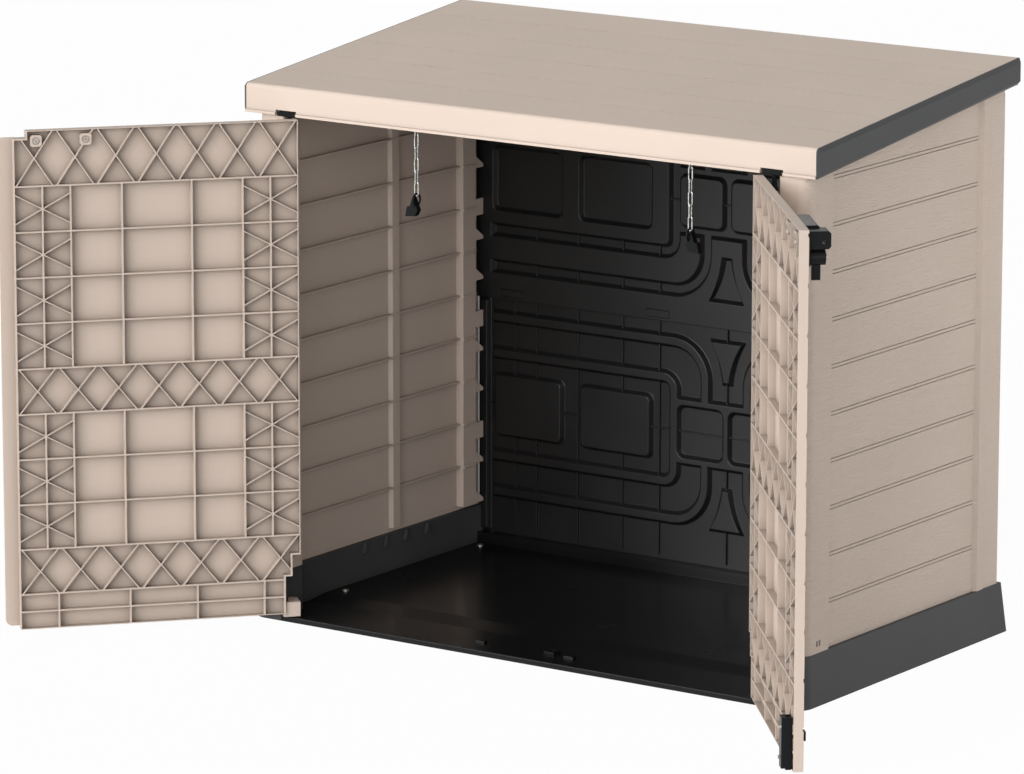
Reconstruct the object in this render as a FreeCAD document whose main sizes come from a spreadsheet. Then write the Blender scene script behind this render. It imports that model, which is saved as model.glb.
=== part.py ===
"""Two-door resin bin store with a sloping hinged lid, in millimetres.

+X is to the right of someone who faces the doors, +Y to the back and +Z up. The origin is the middle of the
base's underside. Pieces that come in pairs are modelled on the right and mirrored. A door is modelled closed
about its own pivot, with the pivot as its origin, and then stands open by door_angle.
"""
import FreeCAD, Part
import math
import os
import re

import Sketcher

V = FreeCAD.Vector

SIZES = (
    ("store_width", 1392, "across the outer faces of the side panels"),
    ("front_reach", 388, "middle to the front face of the posts"),
    ("rear_reach", 396, "middle to the back of the side panels"),
    ("wall", 26, "thickness of a side panel"),
    ("plank_pitch", 98.1, "height of one moulded plank"),
    ("groove_height", 8, "height of the groove between the planks of a door"),
    ("plank_gap", 7.5, "one line to the other between two planks of a side panel"),
    ("plank_line_width", 1.8, "width of those lines"),
    ("groove_depth", 2.5, "depth of those lines below the planks"),
    ("field_depth", 9, "depth of the planks below the posts"),
    ("field_front", 295, "middle to the front end of the planks"),
    ("field_rear", 300, "middle to the rear end of the planks"),
    ("post_width", 72, "front post, across"),
    ("post_depth", 55, "front post, front to back"),
    ("post_wall", 6, "wall of the front post"),
    ("post_round", 28, "outer corner radius of the front post"),
    ("rear_band", 24, "raised band of the rear post"),
    ("rear_band_step", 2, "step behind that band"),
    ("inner_rib", 10, "depth of the ribs inside a side panel"),
    ("inner_rib_drop", 4, "ribs inside a side panel below the groove outside"),
    ("pilaster_y", 65, "place of the upright rib inside a side panel"),
    ("pilaster_width", 32, "width of that upright rib"),
    ("pilaster_depth", 8.5, "depth of that upright rib"),
    ("pilaster_slope", 6, "slope of that upright rib at its front"),
    ("back_flange", 48, "rear flange inside a side panel, front to back"),
    ("flange_in", 19, "rear flange from the wall, inwards"),
    ("flange_bead", 3, "beads across the rear flange"),
    ("tab_reach", 29, "tabs from the rear flange to the back panels"),
    ("tab_thickness", 6, "thickness of those tabs"),
    ("tab_height", 37, "height of the square tabs"),
    ("tab_short", 29, "height of the slanted tabs"),
    ("tab_pitch", 256, "one group of tabs to the next"),
    ("tab_first", 125, "height of the lowest tab"),
    ("tab_second", 92, "upper slanted tab of a group above the lower one"),
    ("tab_third", 152, "square tab of a group above the lowest one"),
    ("inner_top", 60, "rear flange below the top of the back panels"),
    ("post_slot", 6, "width of the slots in a front post"),
    ("post_slot_height", 12, "height of those slots"),
    ("post_slot_rise", 14, "those slots above the base"),
    ("post_slot_back", 46, "first slot behind the front of the post"),
    ("post_slot_spacing", 10, "one slot to the next"),
    ("base_height", 109, "top of the base rails"),
    ("base_width", 1412, "base across, at the ground"),
    ("base_depth", 824, "base front to back, at the ground"),
    ("base_flare", 10, "how far the base draws in from ground to top"),
    ("base_corner", 40, "front corner radius of the base"),
    ("rail_wall", 12, "inner wall of a base rail"),
    ("rail_wall_top", 100, "top of that wall"),
    ("rail_flange", 42, "foot of a rail that runs under the floor"),
    ("rail_flange_thickness", 6, "thickness of that foot"),
    ("tongue", 15, "thickness of a side panel's tongue"),
    ("tongue_depth", 69, "how deep the tongue sits in its rail"),
    ("slack", 0.5, "clearance between parts that slot together"),
    ("gusset", 18, "snap gussets of a rail, along the rail"),
    ("gusset_height", 24, "height of those gussets"),
    ("gusset_reach", 6, "gussets from the rail's wall"),
    ("floor_top", 16, "top of the floor"),
    ("sill_top", 10, "top of the front sill"),
    ("lip_top", 12, "top of the bead along the sill"),
    ("lip_width", 9, "width of that bead"),
    ("ramp_front", 265, "middle to the foot of the ramp behind the sill"),
    ("ramp_rear", 205, "middle to the head of that ramp"),
    ("ledge_top", 40, "top of the rear ledge"),
    ("ledge_depth", 14, "ledge in front of the back panel"),
    ("stop_height", 5, "door stops above the sill"),
    ("stop_width", 24, "door stops, across"),
    ("stop_depth", 12, "door stops, front to back"),
    ("stop_left", 138, "middle to the left door's stop"),
    ("stop_right", 90, "middle to the right door's stop"),
    ("screw_radius", 2.5, "shank of a screw"),
    ("screw_head", 7, "radius of a floor screw's head"),
    ("screw_head_height", 3, "height of a screw's head"),
    ("floor_screw_x", 630, "middle to a row of floor screws"),
    ("floor_screw_front", 168, "middle to the front floor screws"),
    ("floor_screw_rear", 345, "middle to the rear floor screws"),
    ("back_thickness", 16, "thickness of a back panel"),
    ("back_set", 6, "back panels behind the side panels"),
    ("back_seam", 582, "height of the seam between the back panels"),
    ("back_top", 1165, "top of the upper back panel"),
    ("relief", 10, "height of the moulded forms of the back panels"),
    ("relief_slope", 8, "width of the sloping sides of those forms"),
    ("upper_rise", 32, "forms of the upper panel further from the seam"),
    ("band", 32, "width of the moulded bands"),
    ("band_end", 630, "middle to the outer end of the bands"),
    ("pad_corner", 18, "corner radius of the moulded pads"),
    ("square_corner", 20, "corner radius at the foot of the squares between the bands"),
    ("back_line", 3, "width of the fine ribs in the low parts"),
    ("clip_width", 60, "seam clip, across"),
    ("clip_height", 16, "seam clip, up and down"),
    ("clip_rise", 7, "seam clip above the seam"),
    ("clip_seat", 4, "depth of a clip's seat in the upper panel"),
    ("clip_thickness", 5, "thickness of a seam clip"),
    ("pivot_x", 611, "middle to a door's pivot"),
    ("pivot_y", 385, "middle to the pivots, forwards"),
    ("door_angle", 131, "how far the doors stand open"),
    ("pin_radius", 5, "door pivot pins"),
    ("running", 0.05, "radial clearance of pins in bores"),
    ("lug_radius", 11, "lugs round the door pins"),
    ("lug_height", 26, "height of a door's upper lug"),
    ("foot_lug_bottom", 15, "underside of a door's lower lug"),
    ("foot_lug_top", 47, "top of a door's lower lug"),
    ("hinge_edge", 9, "door edge beyond its pivot"),
    ("face_set", 22, "outer face of a closed door behind its pivot"),
    ("centre_gap", 10, "middle to the free edge of a closed door"),
    ("door_thickness", 20, "door with its ribs"),
    ("door_skin", 5, "outer skin of a door"),
    ("door_bottom", 23, "bottom of a door"),
    ("door_top", 1100.5, "top of a door"),
    ("door_groove", 1.8, "depth of the plank grooves outside a door"),
    ("door_rib", 3.6, "thickness of a door's ribs"),
    ("door_brace", 2.6, "thickness of the crossed ribs of a door"),
    ("brace_inset", 17, "crossed ribs from the corners of an edge column's fields"),
    ("cross_gap", 8, "gap along a rail between the crosses of a band"),
    ("rib_drop", 10, "door ribs below the plank grooves outside"),
    ("edge_column", 120, "columns of crossed ribs beside the door's edges"),
    ("inner_column", 110, "plain columns beside those"),
    ("notch_high", 153, "top of the upper hinge notch of a door"),
    ("notch_low", 106, "top of the lower hinge notch of a door"),
    ("notch_high_width", 18, "width of the upper hinge notch"),
    ("notch_low_width", 33, "width of the lower hinge notch"),
    ("cover_strip", 29, "strip of the left door beyond its free edge"),
    ("cover_strip_thickness", 5, "thickness of that strip"),
    ("cover_strip_gap", 1.5, "strip in front of the right door"),
    ("cover_strip_inset", 16, "strip below the top of the door"),
    ("cover_strip_foot", 5, "strip above the bottom of the door"),
    ("cover_strip_round", 14, "lower corner radius of that strip"),
    ("corner_step", 26, "step in the top free corner of the left door"),
    ("hinge_seat", 1102.5, "seat of the top hinges on the posts"),
    ("hinge_plate", 10, "thickness of a top hinge"),
    ("hinge_plate_in", 23, "top hinge from its pin, inwards"),
    ("hinge_plate_out", 25, "top hinge from its pin, outwards"),
    ("hinge_plate_depth", 50, "top hinge, front to back"),
    ("hinge_plate_front", 10, "top hinge in front of its pin"),
    ("hinge_pin_drop", 62, "length of a top hinge's pin"),
    ("latch_x", 38, "middle to the latch lever's pivot, doors closed"),
    ("latch_z", 1042, "height of that pivot"),
    ("lever_hub", 15, "radius of the lever's hub"),
    ("lever_length", 45, "lever below its pivot"),
    ("lever_width", 11, "width of the lever"),
    ("lever_pin_radius", 3, "pin of the lever"),
    ("lever_hub_depth", 30, "hub, front to back"),
    ("lever_depth", 17, "lever, front to back"),
    ("lever_clear", 4, "lever in front of its plate and below the keeper"),
    ("plate_thickness", 5, "latch plate and keeper plate"),
    ("plate_height", 28, "height of those plates"),
    ("plate_drop", 5, "those plates below the top of a door"),
    ("plate_margin", 12, "those plates beyond their last screw"),
    ("shelf_depth", 24, "shelf over the latch"),
    ("shelf_thickness", 5, "top of that shelf above its plate"),
    ("shelf_height", 20, "height of that shelf"),
    ("shelf_start", 35, "shelf from the near end of its plate"),
    ("block_width", 42, "padlock block of the latch, across"),
    ("block_depth", 40, "padlock block, front to back"),
    ("block_gap", 3, "padlock block above the lever's hub"),
    ("eye_hole", 5, "radius of the padlock hole"),
    ("hook_width", 20, "hook of the keeper, across"),
    ("hook_wall", 5.5, "wall of that hook in front of the lever"),
    ("screw_bite", 3.5, "latch screws in their plates"),
    ("screw_drop", 22, "latch screws below the top of a door"),
    ("screw_first", 48, "first latch screw from the free edge"),
    ("screw_spacing", 106, "latch screws, one to the next"),
    ("boss", 25, "square screw bosses of a door"),
    ("boss_round", 6, "corner radius of the bosses"),
    ("boss_bore", 8, "radius of the sink in a boss"),
    ("boss_sink", 2, "depth of that sink"),
    ("latch_head", 5.4, "radius of a latch screw's head"),
    ("cross_slot", 1.6, "width and depth of the cross in that head"),
    ("fitting_bevel", 5, "bevel of the latch's outer corners"),
    ("bolt_x", 37, "middle to the sliding bolt, doors closed"),
    ("bolt_width", 12, "sliding bolt, across"),
    ("bolt_depth", 11.7, "sliding bolt, front to back"),
    ("bolt_length", 96, "length of the sliding bolt"),
    ("bolt_travel", 18, "travel of the sliding bolt"),
    ("guide_width", 26, "bolt guide, across"),
    ("guide_depth", 22, "bolt guide, front to back"),
    ("guide_length", 103, "length of the bolt guide"),
    ("catch_height", 6, "bolt catch above the sill"),
    ("catch_margin", 6, "bolt catch round its hole"),
    ("catch_play", 1, "hole of the catch round the bolt"),
    ("knob_rise", 62, "knob of the bolt above the bottom of the door"),
    ("knob_stem", 10, "height of the knob's stem"),
    ("knob_margin", 4, "knob round its stem, and the slot round its travel"),
    ("knob_depth", 6.5, "knob, front to back"),
    ("guide_rise", 4, "bolt guide above the bottom of the door"),
    ("guide_screw_inset", 3.5, "screws of the guide from its sides"),
    ("guide_screw_end", 18, "screws of the guide from its ends"),
    ("guide_screw_depth", 12, "screws of the guide in the door"),
    ("lid_width", 1455, "lid across its trims"),
    ("trim", 10.5, "thickness of a lid trim"),
    ("trim_bevel", 8, "bevel round the outside of a trim"),
    ("lid_front", 397, "middle to the front of the lid"),
    ("lid_rear", 400, "middle to the back of the lid"),
    ("fascia_bottom", 1104.5, "bottom of the lid's fascia"),
    ("fascia_height", 62, "height of the fascia"),
    ("lid_rise", 82, "rise of the lid from front to back"),
    ("lid_skin", 6, "skin of the lid"),
    ("lid_round", 10, "front edge radius of the lid"),
    ("lid_bead", 3, "bead along the bottom of the fascia"),
    ("lid_rib", 4, "thickness of the ribs under the lid"),
    ("lid_rib_depth", 22, "depth of the ribs under the lid"),
    ("lid_groove", 0.9, "depth of the plank lines on the lid"),
    ("lid_headroom", 14, "side panels below the lid's skin"),
    ("notch_margin", 3, "fascia notch round a top hinge"),
    ("lid_pivot_y", 392, "middle to the lid's hinge pins"),
    ("lid_pivot_z", 1180, "height of the lid's hinge pins"),
    ("lid_pin_radius", 4, "hinge pins of the lid"),
    ("lid_lug_radius", 8, "lugs of the lid round those pins"),
    ("lid_lug_width", 24, "width of those lugs"),
    ("lid_lug_gap", 2, "lug beside its bracket"),
    ("bracket", 8, "thickness of a lid hinge bracket"),
    ("bracket_depth", 40, "lid hinge bracket, front to back"),
    ("bracket_foot", 45, "lid hinge bracket below the top of the back panels"),
    ("chain_x", 347, "middle to a chain"),
    ("chain_y", 290, "middle to the chains, forwards"),
    ("wire_radius", 1.5, "wire of a chain link"),
    ("link_length", 26.3, "inside length of a link"),
    ("link_width", 6, "inside width of a link"),
    ("link_play", 0.3, "play between links"),
    ("eye_radius", 8, "ring of a chain eye, at the middle of its wire"),
    ("eye_wire", 2.2, "wire radius of that ring"),
    ("eye_plate", 24, "plate of a chain eye"),
    ("eye_plate_thickness", 4, "thickness of that plate"),
    ("snap_radius", 13, "ring of a chain clip, at the middle of its wire"),
    ("snap_thickness", 14, "hook of a chain clip, front to back"),
)
PLANKS = 11
DIAMONDS = 7
LINKS = 8
LID_LINES = 5
LID_RIBS_ACROSS = 4
TAB_GROUPS = 4
GUSSETS = (-60, 20, 95, 175)

# Moulded forms of the back panels, across from the middle and away from the seam
PADS = ((195, 392), (434, 625))
PAD_ROWS = (168, 318)
FORM_MIDDLE = 243
OUTER_BAND = {"run": 42, "rise": 55, "end": 186, "bend": 84}
INNER_BAND = {"run": 125, "rise": 137, "end": 280, "bend": 28}
MIDDLE_FIELD = (-140, 140, 164, 322)
SQUARES = ((-129, -5, 182, 304), (5, 129, 182, 304))
BELL = {"wide": 25, "narrow": 128, "foot": 47, "waist": 25, "head": 14, "waist_at": 75}
SIDE_BORDER = 634
FINE_RIBS = (178, 276, 396, 508)
EDGE_RIB = 568
FINE_REACH = (20, 145)
CROSS_REACH = 160
CLIPS = (180, 575)

# Hook of a chain clip, across from the chain and down from its last link
SNAP_HOOK = ((6, -3), (13, -24), (21, -26), (25, -47), (0, -45), (-7, -32))

doc = FreeCAD.newDocument("bin_store")
sheet = doc.addObject("Spreadsheet::Sheet", "Sizes")
for row, (alias, value, meaning) in enumerate(SIZES, start=1):
    sheet.set("A%d" % row, meaning)
    sheet.set("B%d" % row, str(value))
    sheet.setAlias("B%d" % row, alias)
doc.recompute()
NAMES = {alias for alias, value, meaning in SIZES}
size = {alias: float(sheet.get(alias)) for alias in NAMES}
nodes = []


# Bound document objects

def bound(text):
    """The text with every size's name turned into its cell of the sheet."""
    return re.sub(r"[A-Za-z_]\w*", lambda m: "Sizes." + m[0] if m[0] in NAMES else m[0], str(text))


def number(text):
    """The value of a text of sizes."""
    return float(sheet.evalExpression(bound(text)))


def bind(obj, prop, text):
    obj.setExpression(prop, bound(text))


def box(name, x, y, z):
    """A block between three pairs of low and high places."""
    obj = doc.addObject("Part::Box", name)
    for prop, axis, (low, high) in zip(("Length", "Width", "Height"), "xyz", (x, y, z)):
        bind(obj, prop, "(%s) - (%s)" % (high, low))
        bind(obj, "Placement.Base." + axis, low)
    return obj


TURNS = {"x": FreeCAD.Rotation(V(0, 1, 0), 90),
         "y": FreeCAD.Rotation(V(1, 0, 0), -90),
         "z": FreeCAD.Rotation()}


def rod(name, radius, x, y, z):
    """A cylinder along the axis whose place is a (low, high) pair."""
    obj = doc.addObject("Part::Cylinder", name)
    bind(obj, "Radius", radius)
    places = dict(zip("xyz", (x, y, z)))
    along = next(axis for axis in "xyz" if isinstance(places[axis], tuple))
    obj.Placement = FreeCAD.Placement(V(), TURNS[along])
    bind(obj, "Height", "(%s) - (%s)" % (places[along][1], places[along][0]))
    places[along] = places[along][0]
    for axis in "xyz":
        bind(obj, "Placement.Base." + axis, places[axis])
    return obj


def ring(name, radius, wire, at, turn):
    """A ring of round wire about a place, turned from lying flat."""
    obj = doc.addObject("Part::Torus", name)
    bind(obj, "Radius1", radius)
    bind(obj, "Radius2", wire)
    obj.Placement = FreeCAD.Placement(V(), turn)
    for axis, place in zip("xyz", at):
        bind(obj, "Placement.Base." + axis, place)
    return obj


def solid(name, shape):
    """A shape that no primitive gives, worked out from the sizes."""
    obj = doc.addObject("Part::Feature", name)
    obj.Shape = shape
    return obj


def fuse(name, parts):
    if len(parts) == 1:
        return parts[0]
    obj = doc.addObject("Part::MultiFuse", name)
    obj.Shapes = parts
    obj.Refine = True
    return obj


def cut(name, base, tools):
    obj = doc.addObject("Part::Cut", name)
    obj.Base = base
    obj.Tool = fuse(name + "_tools", tools)
    return obj


def rounded(name, base, corners, direction):
    """The base with edges that run along a direction, through given places, rounded."""
    doc.recompute()
    chosen = []
    for place, radius in corners:
        for index, edge in enumerate(base.Shape.Edges, start=1):
            straight = isinstance(edge.Curve, Part.Line)
            if straight and edge.Curve.Direction.cross(direction).Length < 1e-6:
                if edge.Curve.value(edge.Curve.parameter(place)).distanceToPoint(place) < 0.01:
                    chosen.append((index, radius, radius))
    obj = doc.addObject("Part::Fillet", name)
    obj.Base = base
    obj.Edges = chosen
    return obj


def mirrored(label, source):
    """The left-hand twin of a piece on the right."""
    obj = doc.addObject("Part::Mirroring", label)
    obj.Source = source
    obj.Normal = V(1, 0, 0)
    return keep(obj, label)


def keep(obj, label):
    """Names a finished piece, which is written out under that name."""
    obj.Label = label
    nodes.append(obj)
    return obj


def pair(right, label):
    """A piece for the right and its twin for the left."""
    keep(right, "right_" + label)
    mirrored("left_" + label, right)


def on_door(obj):
    """Stands a piece of the right door, modelled closed about its pivot, at its open place."""
    obj.Placement = FreeCAD.Placement(V(), FreeCAD.Rotation(V(0, 0, 1), size["door_angle"]))
    bind(obj, "Placement.Rotation.Angle", "door_angle")
    bind(obj, "Placement.Base.x", "pivot_x")
    bind(obj, "Placement.Base.y", "-pivot_y")
    return obj


def outline_body(name, plane, points, low, high):
    """A body padded between two places along its plane's normal, from a closed outline of bound points."""
    body = doc.addObject("PartDesign::Body", name)
    sketch = body.newObject("Sketcher::SketchObject", name + "_outline")
    support = next(f for f in body.Origin.OriginFeatures if f.Role == plane)
    sketch.AttachmentSupport = [(support, "")]
    sketch.MapMode = "FlatFace"
    bind(sketch, "AttachmentOffset.Base.z", low)
    places = [V(number(across), number(up), 0) for across, up in points]
    count = len(places)
    for index in range(count):
        sketch.addGeometry(Part.LineSegment(places[index], places[(index + 1) % count]), False)
    for index in range(count):
        sketch.addConstraint(Sketcher.Constraint("Coincident", index, 2, (index + 1) % count, 1))
    for index, texts in enumerate(points):
        for kind, text in zip(("DistanceX", "DistanceY"), texts):
            at = sketch.addConstraint(Sketcher.Constraint(kind, -1, 1, index, 1, number(text)))
            sketch.setExpression("Constraints[%d]" % at, bound(text))
    pad = body.newObject("PartDesign::Pad", name + "_pad")
    pad.Profile = sketch
    bind(pad, "Length", "(%s) - (%s)" % (high, low))
    doc.recompute()
    return body


def dress(body, kind, prop, amount, test):
    """Rounds or bevels the edges of a body that pass a test."""
    feature = body.newObject("PartDesign::" + kind, body.Name + "_" + kind.lower())
    tip = feature.BaseFeature
    edges = ["Edge%d" % i for i, edge in enumerate(tip.Shape.Edges, start=1) if test(edge)]
    feature.Base = (tip, edges)
    bind(feature, prop, amount)
    doc.recompute()
    return body


def along_x(y, z):
    """A test for straight edges along X at a place of the YZ plane."""
    def test(edge):
        ends = [v.Point for v in edge.Vertexes]
        return (len(ends) == 2 and abs(ends[0].x - ends[1].x) > 1
                and all(abs(p.y - y) < 0.01 and abs(p.z - z) < 0.01 for p in ends))
    return test


def prism(points, travel):
    """A straight prism from a closed polygon."""
    return Part.Face(Part.makePolygon(points + points[:1])).extrude(travel)


# Places that several pieces share

OUTER = "store_width / 2"
INNER = "store_width / 2 - wall"
POST_IN = "store_width / 2 - post_width"
POST_BACK = "-front_reach + post_depth"
RAIL_IN = "store_width / 2 - wall - rail_wall"
BACK_REAR = "rear_reach + back_set"
BACK_FACE = "rear_reach + back_set - back_thickness"
LID_DEPTH = "(lid_front + lid_rear)"
LID_PEAK = "fascia_bottom + fascia_height + lid_rise"
LID_END = "lid_width / 2 - trim"
TONGUE_FOOT = "base_height - tongue_depth"


def lid_top(y):
    """Height of the lid's top at a place from front to back."""
    return "fascia_bottom + fascia_height + lid_rise * ((%s) + lid_front) / %s" % (y, LID_DEPTH)


def slope(obj):
    """Tilts an object about its own X axis to the slope of the lid."""
    obj.Placement = FreeCAD.Placement(obj.Placement.Base, FreeCAD.Rotation(V(1, 0, 0), 1))
    bind(obj, "Placement.Rotation.Angle", "atan(lid_rise / %s)" % LID_DEPTH)
    return obj


# Base rails

def rail_outline(name, inset, z):
    """Plan of the right rail with its corner block, drawn in from its size at the ground."""
    x_in, x_rail = number(POST_IN), number(RAIL_IN)
    x_out = size["base_width"] / 2 - inset
    y_front, y_rear = -size["base_depth"] / 2 + inset, size["base_depth"] / 2 - inset
    y_block = number(POST_BACK)
    r = size["base_corner"]
    lean = r * math.sqrt(0.5)
    front_a, front_m, front_b = (V(x_out - r, y_front, z), V(x_out - r + lean, y_front + r - lean, z),
                                 V(x_out, y_front + r, z))
    corners = [V(x_out, y_rear, z), V(x_rail, y_rear, z), V(x_rail, y_block, z), V(x_in, y_block, z),
               V(x_in, y_front, z)]
    edges = [Part.Arc(front_a, front_m, front_b).toShape()]
    path = [front_b] + corners + [front_a]
    edges += [Part.makeLine(a, b) for a, b in zip(path, path[1:])]
    return solid(name, Part.Wire(edges))


def base_rail():
    block = doc.addObject("Part::Loft", "rail_block")
    block.Sections = [rail_outline("rail_foot_plan", 0, 0),
                      rail_outline("rail_top_plan", size["base_flare"], size["base_height"])]
    block.Solid = True
    block.Ruled = True
    foot = box("rail_foot", ("%s - rail_flange" % RAIL_IN, RAIL_IN),
               ("%s + slack" % POST_BACK, "base_depth / 2 - base_flare"), (0, "rail_flange_thickness"))
    x_wall, high = number(RAIL_IN), size["rail_wall_top"]
    half, low = size["gusset"] / 2, size["rail_wall_top"] - size["gusset_height"]
    gussets = []
    for y in GUSSETS:
        tip = [V(x_wall, y - half, low), V(x_wall, y + half, low), V(x_wall, y, high)]
        gussets.append(solid("rail_gusset", prism(tip, V(-size["gusset_reach"], 0, 0))))
    body = fuse("rail_body", [block, foot] + gussets)
    slot = box("rail_slot", (INNER, "%s + tongue + 2 * slack" % INNER),
               ("%s + slack" % POST_BACK, "rear_reach + slack"), (TONGUE_FOOT, "base_height + 1"))
    low_wall = box("rail_low_wall", ("%s - rail_wall" % RAIL_IN, INNER), (POST_BACK, "base_depth"),
                   ("rail_wall_top", "base_height + 1"))
    holes = [rod("rail_hole", "screw_radius + running", "floor_screw_x", y, (-1, "rail_flange_thickness + 1"))
             for y in ("-floor_screw_front", "floor_screw_rear")]
    pair(cut("rail_cut", body, [slot, low_wall] + holes), "base_rail")


# Floor

def floor_panel():
    half = "%s - slack" % RAIL_IN
    front = "-base_depth / 2"
    profile = outline_body("floor_profile", "YZ_Plane", [
        (front, "0"), ("base_depth / 2 - base_flare", "0"), ("base_depth / 2 - base_flare", "ledge_top"),
        ("%s - ledge_depth" % BACK_FACE, "ledge_top"), ("%s - ledge_depth" % BACK_FACE, "floor_top"),
        ("-ramp_rear", "floor_top"), ("-ramp_front", "sill_top"), (front + " + lip_width", "sill_top"),
        (front + " + lip_width", "lip_top"), (front, "lip_top")], "-(%s)" % half, half)
    dress(profile, "Fillet", "Radius", "(lip_top - sill_top) * 0.9",
          along_x(number(front), size["lip_top"]))
    stops = [box("door_stop", ("%s - stop_width / 2" % x, "%s + stop_width / 2" % x),
                 ("%s - stop_depth" % CLOSED_INNER, CLOSED_INNER), ("sill_top - 1", "sill_top + stop_height"))
             for x in ("-stop_left", "stop_right")]
    tools = []
    for side in ("", "-"):
        edge, far = "%s(%s - slack)" % (side, POST_IN), "%s(base_width / 2)" % side
        under = "%s(%s - rail_flange - slack)" % (side, RAIL_IN)
        across = (edge, far) if side == "" else (far, edge)
        foot = (under, far) if side == "" else (far, under)
        tools += [
            box("floor_corner", across, ("-base_depth", "%s + slack" % POST_BACK), (-1, "base_height")),
            box("floor_rebate", foot, (POST_BACK, "base_depth"), (-1, "rail_flange_thickness")),
            rod("pivot_hole", "pin_radius + running", side + "pivot_x", "-pivot_y", (-1, "base_height"))]
        tools += [rod("floor_hole", "screw_radius + running", side + "floor_screw_x", y, (-1, "base_height"))
                  for y in ("-floor_screw_front", "floor_screw_rear")]
    tools.append(box("bolt_hole", BOLT_HOLE_X, BOLT_HOLE_Y, (-1, "base_height")))
    keep(cut("floor_cut", fuse("floor_body", [profile] + stops), tools), "floor_panel")
    screws = []
    for x in ("floor_screw_x", "-floor_screw_x"):
        for y in ("-floor_screw_front", "floor_screw_rear"):
            shank = rod("floor_shank", "screw_radius", x, y, ("slack", "floor_top + 1"))
            head = rod("floor_head", "screw_head", x, y, ("floor_top", "floor_top + screw_head_height"))
            screws.append(fuse("floor_screw", [shank, head]))
    group = doc.addObject("Part::Compound", "floor_screw_group")
    group.Links = screws
    keep(group, "floor_screws")


CLOSED_INNER = "-pivot_y + face_set + door_thickness"
BOLT_Y = "%s + slack + bolt_depth / 2" % CLOSED_INNER
BOLT_HOLE_X = ("bolt_x - bolt_width / 2 - catch_play", "bolt_x + bolt_width / 2 + catch_play")
BOLT_HOLE_Y = ("%s - bolt_depth / 2 - catch_play" % BOLT_Y, "%s + bolt_depth / 2 + catch_play" % BOLT_Y)


def wider(places, by):
    return "%s - %s" % (places[0], by), "%s + %s" % (places[1], by)


def bolt_catch():
    plate = box("catch_plate", wider(BOLT_HOLE_X, "catch_margin"), wider(BOLT_HOLE_Y, "catch_margin"),
                ("sill_top", "sill_top + catch_height"))
    hole = box("catch_hole", BOLT_HOLE_X, BOLT_HOLE_Y, (0, "base_height"))
    keep(cut("catch_cut", plate, [hole]), "bolt_catch")


# Side panels

def plank_line(k):
    return "base_height + %d * plank_pitch" % k


def plank_groove(k):
    return plank_line(k) + " - groove_height / 2", plank_line(k) + " + groove_height / 2"


FLANGE_REAR = "%s - tab_reach" % BACK_FACE
FLANGE_FRONT = "%s - tab_reach - back_flange" % BACK_FACE
FLANGE_IN = "%s - flange_in" % INNER


def side_ribs():
    """The pilaster, rear flange and level ribs inside a side panel."""
    half, proud = "pilaster_width / 2", "%s - pilaster_depth" % INNER
    pilaster = outline_body("side_pilaster", "XY_Plane", [
        (INNER + " + 1", "pilaster_y - " + half), (INNER + " + 1", "pilaster_y + " + half),
        (proud, "pilaster_y + " + half), (proud, "pilaster_y - %s + pilaster_slope" % half),
        (INNER, "pilaster_y - " + half)], "base_height", LID_PEAK)
    ribs = [pilaster, box("side_flange", (FLANGE_IN, INNER), (FLANGE_FRONT, FLANGE_REAR),
                          ("base_height", "back_top - inner_top"))]
    for k in range(1, PLANKS):
        level = "%s - inner_rib_drop" % plank_line(k)
        tall = (level + " - door_rib", level)
        ribs.append(box("side_rib", ("%s - inner_rib" % INNER, INNER), (POST_BACK, FLANGE_FRONT), tall))
        if k < PLANKS - 1:
            ribs.append(box("flange_bead_bar", (FLANGE_IN + " - flange_bead", INNER),
                            (FLANGE_FRONT, FLANGE_REAR), tall))
    return ribs


def side_tabs():
    """Tabs behind the rear flange that hold the back panels: two slanted and one square to a group."""
    x, thick = number(FLANGE_IN), V(size["tab_thickness"], 0, 0)
    root, tip = number(FLANGE_REAR) - 1, number(BACK_FACE)
    tabs = []
    for group in range(TAB_GROUPS):
        low = size["tab_first"] + group * size["tab_pitch"]
        for z in (low, low + size["tab_second"]):
            foot, head = z - size["tab_short"] / 2, z + size["tab_short"] / 2
            slant = [V(x, root, foot), V(x, tip, foot), V(x, tip, (foot + z) / 2), V(x, root, head)]
            tabs.append(solid("slanted_tab", prism(slant, thick)))
        z = low + size["tab_third"]
        foot, head = z - size["tab_height"] / 2, z + size["tab_height"] / 2
        square = [V(x, root, foot), V(x, tip, foot), V(x, tip, head), V(x, root, head)]
        tabs.append(solid("square_tab", prism(square, thick)))
    return tabs


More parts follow.
